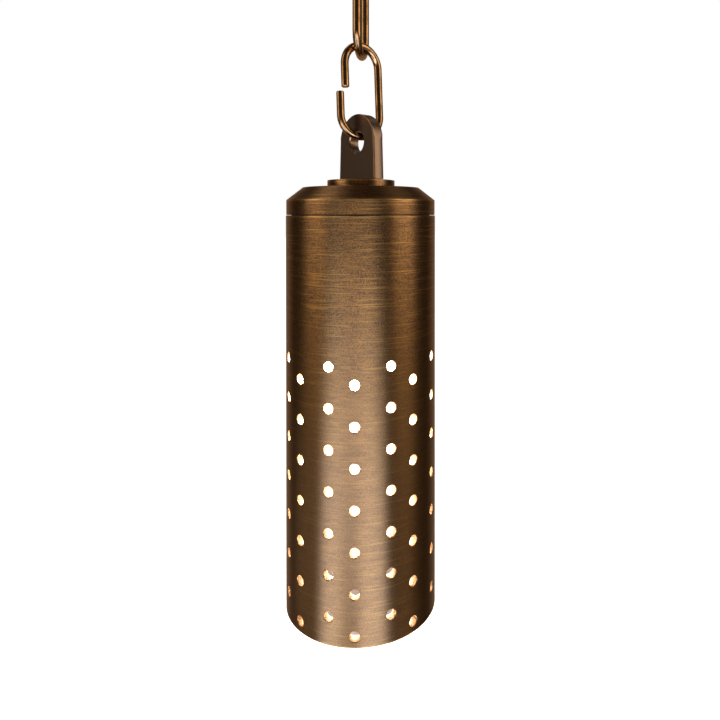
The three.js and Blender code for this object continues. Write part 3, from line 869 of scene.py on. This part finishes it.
def addCap():
    c = cap
    foot = rimHeight + c["seam"]
    shoulder = foot + c["skirt"]
    top = shoulder + c["bevelHeight"]
    bossTop = top + c["bossHeight"]
    under = top - c["roof"]
    radius = sleeveRadius - c["setIn"]
    bevelRadius = radius - c["bevelWidth"]
    boss = c["bossDiameter"] / 2
    spigot = sleeveRadius - sleeve["counterboreWall"] - c["slip"]
    hollow = spigot - c["spigotWall"]
    groove = spigot - c["ringSection"]
    section = c["ringSection"] / 2
    ringHeight = rimHeight - c["ringDrop"]
    grooveTop, grooveFoot = ringHeight + section + c["slip"], ringHeight - section - c["slip"]
    spigotFoot = rimHeight - c["spigotLength"]
    lip = sleeveRadius - c["gasketLip"]
    fadeHeight = c["threadFade"]
    threadTop = grooveFoot - c["threadEnd"]
    threadFoot = spigotFoot + fadeHeight

    def threaded(r, z, turn):
        # a ridge that climbs one pitch in a turn, and fades out at both ends
        if not (threadFoot < z < threadTop and abs(r - spigot) < 1e-6):
            return r, z
        phase = (z / c["threadPitch"] - turn / (2 * math.pi)) % 1.0
        ridge = 1 - abs(2 * phase - 1)
        fade = min(1.0, (z - threadFoot) / fadeHeight, (threadTop - z) / fadeHeight)
        return r - c["threadDepth"] * (1 - ridge) * fade, z

    steps = c["threadSteps"]
    arris = c["arris"]
    slope = c["bevelHeight"] / c["bevelWidth"]
    normalAngle = 90 - math.degrees(math.atan(slope))
    profile = [(0, under), (hollow, under), (hollow, spigotFoot), (spigot - fadeHeight, spigotFoot)]
    profile += [(spigot, threadFoot + (threadTop - threadFoot) * step / steps) for step in range(steps + 1)]
    profile += [(spigot, grooveFoot), (groove, grooveFoot), (groove, grooveTop), (spigot, grooveTop)]
    recess = rimHeight + c["gasketRecess"]
    profile += [(spigot, recess), (lip, recess), (lip, foot)]
    worn, wornTop = c["wearWidth"], c["topWearWidth"]
    profile += [(radius - c["footChamfer"], foot), (radius, foot + c["footChamfer"])]
    profile += [(radius, foot + wornTop), (radius, shoulder - worn)]
    profile += roundCorner((radius - arris, shoulder - arris * 0.6), arris, 0, normalAngle, 4, 1.0)
    profile += [(radius - worn, shoulder + slope * worn), (bevelRadius + wornTop, top - slope * wornTop)]
    profile += roundCorner((bevelRadius - 0.05, top - arris), arris, normalAngle, 90, 4, 0.6)
    profile += [(bevelRadius - worn, top), (boss + c["cove"] + wornTop, top)]
    profile += roundCorner((boss + c["cove"], top + c["cove"]), c["cove"], 270, 180, 8)
    profile += [(boss, bossTop - wornTop)]
    profile += roundCorner((boss - arris, bossTop - arris), arris, 0, 90, 4, 0.8)
    profile += [(boss - c["bossWearWidth"], bossTop), (0, bossTop)]
    mesh = meshFrom(turnedForm(profile, c["sides"], shape=threaded), "cap")

    # The bores for the eye's stem, the cable bushing's neck and flange, and the bracket's two screws
    below, above = under - 1, bossTop + 1
    flangeSeat = heightsOf("cable_bushing")[1] - inlet["flangeThickness"] - inlet["flangeSlip"]
    screwTop = under + c["bracketScrewDepth"]
    bores = [
        (0, 0, eye["stem"] / 2 + c["slip"], below, above),
        (0, inlet["offset"], inlet["neck"] / 2 + c["slip"], below, above),
        (0, inlet["offset"], inlet["flange"] / 2 + c["slip"], flangeSeat, above),
        (-c["bracketScrewAt"], 0, c["bracketScrewHole"] / 2, below, screwTop),
        (c["bracketScrewAt"], 0, c["bracketScrewHole"] / 2, below, screwTop),
    ]
    for x, y, reach, low, high in bores:
        bar = turnedForm([(0, low), (reach, low), (reach, high), (0, high)], 48)
        bmesh.ops.translate(bar, verts=bar.verts, vec=(x, y, 0))
        mesh = cutAway(mesh, meshFrom(bar, "tool"))
    addPiece("cap", mesh, ["agedBrass"], "housing", ["cap"])

    ring = turnedForm(roundCorner((groove + section, ringHeight), section, 0, 345, 23), 128, True)
    addPiece("oRing", ring, ["rubber"], "housing", ["cap_o_ring"])

    # The seam's gasket, whose bead stands out of the seam and darkens it
    inner, outer = spigot + c["slip"], boxOf("seam_gasket")["high"].x
    low, high = heightsOf("seam_gasket")
    bead, edge = outer + c["gasketBead"], c["gasketEdge"]
    profile = [(inner, low), (bead - edge, low), (bead, low + edge), (bead, low + 2 * edge),
               (bead - edge, low + 3 * edge), (outer, low + 3 * edge), (outer, high - edge),
               (outer - edge, high), (inner, high)]
    ring = turnedForm(profile, 160, True)
    addPiece("seamGasket", ring, ["rubber"], "gasket", ["seam_gasket"])
    print("cap made:", len(mesh.polygons), "faces")


inlet = {
    "offset": 9.0,
    "bore": 3.4,
    "neck": 5.2,
    "flange": 7.2,
    "flangeThickness": 1.4,
    "flangeSlip": 0.3,
    "edge": 0.35,
}


def addInlet():
    # Rubber bushing in the boss behind the eye, flush with it
    low, high = heightsOf("cable_bushing")
    bore, neck, flange = inlet["bore"] / 2, inlet["neck"] / 2, inlet["flange"] / 2
    edge = inlet["edge"]
    seat = high - inlet["flangeThickness"]
    profile = [(bore, low), (neck, low), (neck, seat), (flange, seat)]
    profile += roundCorner((flange - edge, high - edge), edge, 0, 90, 4)
    profile += roundCorner((bore + edge, high - edge), edge, 90, 180, 4)
    bm = turnedForm(profile, 48, closed=True)
    bmesh.ops.translate(bm, verts=bm.verts, vec=(0, inlet["offset"], 0))
    addPiece("cableBushing", bm, ["rubber"], "housing", ["cable_bushing"])
    print("inlet made")


# Sleeve

sleeve = {
    "wall": 3.2,
    "counterboreWall": 2.0,
    "rimEdge": 0.2,
    "hole": 4.05,
    "holeEdge": 0.2,
    "columns": 8,
    "rows": 7,
    "rowPitch": 16.0,
    "lastRowRise": 4.4,
    "staggerRise": 6.6,
    "staggerTurn": 26.0,
    "drillInside": 1.5,
    "drillOutside": 1.0,
    "firstColumnTurn": 2.6,
    "lensSeat": 53.3,
    "grooveDepth": 0.7,
    "grooveSlip": 0.25,
    "wearWidth": 1.2,
    "sides": 240,
    "holeSides": 40,
}


def holeCutter():
    # All the drills in one mesh, each flared where it leaves the wall, which breaks the hole's edge
    s = sleeve
    bm = bmesh.new()
    inner = sleeveRadius - s["wall"] - s["drillInside"]
    past = s["drillOutside"]
    flareStart = sleeveRadius - s["holeEdge"]
    radius = s["hole"] / 2
    stations = [(inner, radius), (flareStart, radius), (sleeveRadius + past, radius + past + s["holeEdge"])]
    foot = sleeveBox["low"].z + s["lastRowRise"]
    for setTurn, rise in ((0, 0), (s["staggerTurn"], s["staggerRise"])):
        for column in range(s["columns"]):
            turn = s["firstColumnTurn"] + setTurn + column * 360 / s["columns"]
            outward = aroundAxis(turn)
            around = spokes(up.cross(outward), up, s["holeSides"])
            for row in range(s["rows"]):
                height = foot + rise + row * s["rowPitch"]
                rings = []
                for reach, size in stations:
                    centre = outward * reach + up * height
                    rings.append([bm.verts.new(centre + spoke * size) for spoke in around])
                for finish, first, second in ((2, rings[0], rings[1]), (0, rings[1], rings[2])):
                    for face in bridge(bm, first, second):
                        face.material_index = finish
                bm.faces.new(rings[0])
                bm.faces.new(rings[-1])
    return bm


def trueCylinderNormals(mesh):
    # The walls between the holes shade as the cylinders that they are
    normals = [corner.vector.copy() for corner in mesh.corner_normals]
    for face in mesh.polygons:
        for corner in face.loop_indices:
            point = mesh.vertices[mesh.loops[corner].vertex_index].co
            outward = Vector((point.x, point.y, 0)).normalized()
            aim = face.normal.dot(outward)
            if abs(aim) > 0.995:
                normals[corner] = outward * math.copysign(1, aim)
    mesh.normals_split_custom_set([tuple(normal) for normal in normals])


def addSleeve():
    s = sleeve
    foot, top = heightsOf("perforated_sleeve")
    counterbore = sleeveRadius - s["counterboreWall"]
    bore = sleeveRadius - s["wall"]
    edge = s["rimEdge"]
    seat = top - s["lensSeat"]
    ringFoot, ringTop = heightsOf("lens_snap_ring")
    grooveTop, grooveFoot = ringTop + s["grooveSlip"], ringFoot - s["grooveSlip"]
    grooveRadius = counterbore + s["grooveDepth"]
    profile = roundCorner((sleeveRadius - edge, top - edge), edge, 0, 90, 4, 0.9)
    profile += [(counterbore + edge, top), (counterbore, top - edge), (counterbore, grooveTop)]
    profile += [(grooveRadius, grooveTop), (grooveRadius, grooveFoot), (counterbore, grooveFoot)]
    profile += [(counterbore, seat), (bore, seat), (bore, foot + edge)]
    profile += roundCorner((bore + edge, foot + edge), edge, 180, 270, 4, 0.3)
    profile += roundCorner((sleeveRadius - edge, foot + edge), edge, 270, 360, 4, 0.4)
    profile += [(sleeveRadius, foot + s["wearWidth"]), (sleeveRadius, top - s["wearWidth"])]
    bm = turnedForm(profile, s["sides"], closed=True)
    for face in bm.faces:
        middle = face.calc_center_median()
        inside = middle.to_2d().length < sleeveRadius - edge
        face.material_index = 1 if inside and middle.z > foot + edge / 2 else 0
    mesh = cutAway(meshFrom(bm, "tube"), meshFrom(holeCutter(), "drills"))
    trueCylinderNormals(mesh)
    # The hole walls take the darker copy of the bore's finish, a painted shade
    materials = ["agedBrass", "boreBrass", "shadedDrilledBrass"]
    addPiece("perforatedSleeve", mesh, materials, "sleeve", ["perforated_sleeve"])
    print("sleeve made:", len(mesh.polygons), "faces")


# Lens, lamp and what holds them

lens = {"slip": 0.25, "edge": 0.3, "ringWire": 1.6, "ringGap": 24.0, "ringSteps": 120}

lamp = {
    "diameter": 50.0,
    "wall": 1.4,
    "rimHeight": 2.2,
    "neck": 16.0,
    "base": (15.0, 8.5, 10.0),
    "baseEdge": 0.8,
    "rimWidth": 0.8,
    "capsule": 9.0,
    "filamentLength": 4.8,
    "filamentRadius": 0.45,
    "filamentWire": 0.22,
    "filamentTurns": 12,
    "filamentRise": 2.5,
    "rimRows": 16,
    "facetColumns": 32,
    "facetRows": 7,
}


def addLens():
    low, high = heightsOf("sleeve_lens")
    counterbore = sleeveRadius - sleeve["counterboreWall"]
    radius = counterbore - lens["slip"]
    edge = lens["edge"]
    profile = [(0, low), (radius - edge, low), (radius, low + edge),
               (radius, high - edge), (radius - edge, high), (0, high)]
    addPiece("lens", turnedForm(profile, 160), ["glass"], "sleeve", ["sleeve_lens"])

    low, high = heightsOf("lens_gasket")
    bore = sleeveRadius - sleeve["wall"] + lens["slip"]
    profile = [(bore, low), (radius, low), (radius, high), (bore, high)]
    gasket = turnedForm(profile, 160, True)
    addPiece("lensGasket", gasket, ["silicone"], "sleeve", ["lens_gasket"])

    low, high = heightsOf("lens_snap_ring")
    wire, centre = (high - low) / 2, (high + low) / 2
    reach = counterbore + sleeve["grooveDepth"] - lens["slip"] - lens["ringWire"] / 2
    path = []
    for step in range(lens["ringSteps"] + 1):
        turn = math.radians(lens["ringGap"] / 2 + (360 - lens["ringGap"]) * step / lens["ringSteps"])
        path.append(Vector((reach * math.cos(turn), reach * math.sin(turn), centre)))
    addPiece("snapRing", tubeForm(path, wire, 16), ["steel"], "sleeve", ["lens_snap_ring"], 60)


def cupRadius(share):
    # The reflector is a parabola from its neck to its rim
    neck = lamp["neck"] / 2
    rim = lamp["diameter"] / 2 - lamp["rimWidth"]
    return math.sqrt(neck ** 2 + (rim ** 2 - neck ** 2) * share)


def addLamp():
    foot, top = heightsOf("lamp_reflector")
    neckTop = top - lamp["base"][2]
    rimTop = foot + lamp["rimHeight"]
    depth = neckTop - rimTop
    wall = lamp["wall"]
    outside = [(cupRadius(i / lamp["rimRows"]), neckTop - depth * i / lamp["rimRows"])
               for i in range(lamp["rimRows"] + 1)]
    rows = lamp["facetRows"]
    floor = neckTop - 2 * wall
    floorShare = (neckTop - floor) / depth
    inside = []
    for i in range(rows + 1):
        share = floorShare + (1 - floorShare) * i / rows
        inside.append((cupRadius(share) - wall, neckTop - depth * share))
    inner, rim, edge = inside[-1][0], lamp["diameter"] / 2, lens["edge"]
    profile = [(0, floor)] + inside[:-1]
    profile += [(inner, rimTop), (inner, foot), (rim - edge, foot), (rim, foot + edge), (rim, rimTop)]
    profile += outside[::-1] + [(0, neckTop)]
    mesh = meshFrom(turnedForm(profile, lamp["facetColumns"] * 2), "reflector", 12)
    addPiece("reflector", mesh, ["mirror"], "housing", ["lamp_reflector"])
    length, width, height = lamp["base"]
    bm = bmesh.new()
    bmesh.ops.create_cube(bm, size=1.0)
    bmesh.ops.scale(bm, verts=bm.verts, vec=(length, width, height + wall))
    bmesh.ops.translate(bm, verts=bm.verts, vec=(0, 0, top - (height + wall) / 2))
    bmesh.ops.bevel(bm, geom=list(bm.edges), offset=lamp["baseEdge"], segments=3, affect="EDGES")
    addPiece("lampBase", bm, ["steatite"], "housing")

    radius = boxOf("lamp_front_glass")["high"].x
    low, high = heightsOf("lamp_front_glass")
    profile = [(0, low), (radius - 0.2, low), (radius, low + 0.2), (radius, high), (0, high)]
    disc = turnedForm(profile, 96)
    addPiece("frontGlass", disc, ["glass"], "housing", ["lamp_front_glass"])

    low, high = heightsOf("lamp_capsule")
    radius = lamp["capsule"] / 2
    dome = low + radius
    profile = [(0, low)] + roundCorner((0, dome), radius, -80, 0, 8) + [(radius, high), (0, high)]
    addPiece("capsule", turnedForm(profile, 48), ["glass"], "housing", ["lamp_capsule"])

    length, coil, steps = lamp["filamentLength"], lamp["filamentRadius"], 160
    middle = dome + lamp["filamentRise"]
    path = []
    for step in range(steps + 1):
        turn = 2 * math.pi * lamp["filamentTurns"] * step / steps
        x = length * (step / steps - 0.5)
        path.append(Vector((x, coil * math.cos(turn), middle + coil * math.sin(turn))))
    wire = tubeForm(path, lamp["filamentWire"] / 2, 8)
    addPiece("filament", wire, ["filament"], "housing")
    print("lamp and lens made")


# Inner nodes that keep their own solids

innerFinishes = {
    "steel": ["eye_washer", "eye_nut", "bracket_screw_left", "bracket_screw_right", "lamp_bracket",
              "socket_screw_left", "socket_screw_right", "lamp_pin_left", "lamp_pin_right"],
    "steatite": ["lamp_socket"],
    "silicone": ["socket_lead_left", "socket_lead_right"],
}


def dressInnerNodes():
    for finish, nodes in innerFinishes.items():
        for name in nodes:
            node = frame["nodes"][name]
            node.data.materials.clear()
            node.data.materials.append(finishes[finish])


addChain()
addEye()
addCap()
addInlet()
addSleeve()
addLens()
addLamp()
dressInnerNodes()


# Studio: a dim dome with soft boxes painted in it, which the brass mirrors, and a pale table under the
# lamp. A soft box is turned to the right of the photo's camera, seen from the lamp, and reaches from
# low to high over the horizon. Its angles and fades are in degrees

studio = {
    "ambient": {"colour": "#fff2e4", "strength": 0.04},
    # turned, half the width, fade at the sides, low, high, fade above and below, colour, strength
    "softBoxes": {
        "left": (-72, 4, 20, -4, 52, 8, "#ffefd8", 1.5),
        "right": (69, 5, 19, -4, 52, 8, "#ffefd8", 1.95),
        "front": (-5, 12, 24, -12, -3, 5, "#ffc98a", 0.8),
        "cardNear": (-13, 42, 12, -31, -22, 4, "#cbdeff", 6.9),
        "cardFar": (-13, 26, 16, -22, -12, 4, "#e2ecff", 4.2),
        "footLeft": (-48, 6, 16, -60, -31, 4, "#cfe0ff", 4.0),
        "footRight": (18, 10, 18, -60, -31, 4, "#cfe0ff", 5.2),
        "lowLeft": (-86, 16, 22, -37, -20, 6, "#fff5e6", 0.38),
        "lowRight": (62, 10, 20, -60, -14, 8, "#fff5e6", 0.22),
        "topLeft": (-143, 4, 20, 50, 66, 8, "#ffefd8", 1.3),
        "topRight": (143, 4, 20, 46, 60, 8, "#ffefd8", 0.3),
        "backdrop": (180, 34, 24, -60, 24, 14, "#ffdcb6", 0.36),
    },
    "table": {"drop": 15.0, "width": 8000.0, "colour": "#e9e6e1"},
    # a painted shadow pool on the table under the lamp, warm-tinted as lamp light: nearly black to the
    # light, beige to the camera, hidden behind the tube and seen through its lowest holes
    "paintedShadowPool": {"behind": 27.0, "radius": 28.0, "fade": 6.0, "seen": "#bda593", "colour": "#141210"},
    "lampLight": {"width": 42.0, "below": 0.5, "watts": 0.48, "colour": "#fff6ea"},
}


def seenWhite(tree):
    # 1 for the rays that see the plain white background: the camera's, and those through the glass
    path = addNode(tree, "LightPath")
    rays = {0: path.outputs["Is Camera Ray"], 1: path.outputs["Is Transmission Ray"]}
    return addNode(tree, "Math", rays, {"operation": "MAXIMUM"})


def sine(degrees):
    return math.sin(math.radians(degrees))


def cosine(degrees):
    return math.cos(math.radians(degrees))


def softBox(tree, level, height, box):
    # level is the ray's direction laid flat, height the sine of its angle over the horizon
    turned, half, sideFade, low, high, fade, colour, strength = box
    centre = aroundAxis(camera["azimuth"] + turned)
    facing = addNode(tree, "VectorMath", {0: level, 1: tuple(centre)}, {"operation": "DOT_PRODUCT"})
    shown = addNode(tree, "MapRange", {
        "Value": facing.outputs["Value"],
        "From Min": cosine(half + sideFade),
        "From Max": cosine(half),
        "To Max": strength,
    }, smooth)
    for edge, below, above in ((low, 0.0, 1.0), (high, 1.0, 0.0)):
        side = addNode(tree, "MapRange", {
            "Value": height, "From Min": sine(edge - fade), "From Max": sine(edge + fade),
            "To Min": below, "To Max": above}, smooth)
        shown = addNode(tree, "Math", {0: shown, 1: side}, {"operation": "MULTIPLY"})
    return addNode(tree, "Background", {"Color": colour, "Strength": shown})


def addWorld():
    world = bpy.data.worlds.new("paleStudio")
    world.use_nodes = True
    tree = world.node_tree
    tree.nodes.clear()
    direction = addNode(tree, "TexCoord").outputs["Generated"]
    split = addNode(tree, "SeparateXYZ", {0: direction})
    flat = addNode(tree, "CombineXYZ", {0: split.outputs[0], 1: split.outputs[1]})
    level = addNode(tree, "VectorMath", {0: flat}, {"operation": "NORMALIZE"})
    ambient = studio["ambient"]
    lit = addNode(tree, "Background", {"Color": ambient["colour"], "Strength": ambient["strength"]})
    for box in studio["softBoxes"].values():
        shader = softBox(tree, level, split.outputs[2], box)
        lit = addNode(tree, "AddShader", {0: lit, 1: shader})
    white = addNode(tree, "Background", {"Color": (1, 1, 1, 1), "Strength": 1.0})
    shown = addNode(tree, "MixShader", {0: seenWhite(tree), 1: lit, 2: white})
    addNode(tree, "OutputWorld", {"Surface": shown})
    bpy.context.scene.world = world


def paleTable():
    # Matt laminate, white to the eye but for a painted shadow pool under the lamp, tinted warm as lamp
    # light, that the lowest holes look out on. It is clear from below, so that the lamp can be looked into
    paintedShadowPool = studio["paintedShadowPool"]
    material, tree = newMaterial("paleTable")
    place = addNode(tree, "TexCoord").outputs["Object"]
    middle = aroundAxis(camera["azimuth"]) * -paintedShadowPool["behind"] * mm
    away = addNode(tree, "VectorMath", {0: place, 1: tuple(middle)}, {"operation": "DISTANCE"})
    # Where the painted shadow pool lies, soft at its edge
    inPaintedShadowPool = addNode(tree, "MapRange", {
        "Value": away.outputs["Value"],
        "From Min": paintedShadowPool["radius"] * mm,
        "From Max": (paintedShadowPool["radius"] + paintedShadowPool["fade"]) * mm,
        "To Min": 1.0,
        "To Max": 0.0,
    }, smooth)
    # Painted shade: the pool is nearly black to the light and beige instead of white to the camera
    colour = addNode(tree, "Mix", {
        "Factor": inPaintedShadowPool, "A": studio["table"]["colour"], "B": paintedShadowPool["colour"]}, ofColours)
    seen = addNode(tree, "Mix", {"Factor": inPaintedShadowPool, "A": (1, 1, 1, 1), "B": paintedShadowPool["seen"]}, ofColours)
    matt = addNode(tree, "BsdfDiffuse", {"Color": colour.outputs["Result"]})
    lift = addNode(tree, "Emission", {"Color": seen.outputs["Result"], "Strength": seenWhite(tree)})
    both = addNode(tree, "AddShader", {0: matt, 1: lift})
    clear = addNode(tree, "BsdfTransparent")
    under = addNode(tree, "NewGeometry").outputs["Backfacing"]
    shown = addNode(tree, "MixShader", {0: under, 1: both, 2: clear})
    return closeMaterial(material, shown)


def addTable():
    mesh = bpy.data.meshes.new("table")
    half = studio["table"]["width"] / 2 * mm
    corners = [(-half, -half, 0), (half, -half, 0), (half, half, 0), (-half, half, 0)]
    mesh.from_pydata(corners, [], [(0, 1, 2, 3)])
    mesh.materials.append(paleTable())
    table = looseObject("table", mesh)
    table.location.z = (sleeveBox["low"].z - studio["table"]["drop"]) * mm
    table.visible_glossy = False


def addLampLight():
    # What the reflector lamp throws down the sleeve, from just under the lens
    look = studio["lampLight"]
    data = bpy.data.lights.new("lampLight", "AREA")
    data.shape = "DISK"
    data.size = look["width"] * mm
    data.energy = look["watts"]
    data.color = toLinear(look["colour"])[:3]
    light = bpy.data.objects.new("lampLight", data)
    light.location = (0, 0, (lensBox["low"].z - look["below"]) * mm)
    light.visible_camera = False
    light.visible_transmission = False
    bpy.context.scene.collection.objects.link(light)
    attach(light, "sleeve")


addWorld()
addTable()
addLampLight()
bpy.context.scene.view_settings.view_transform = "Standard"
print("studio made")
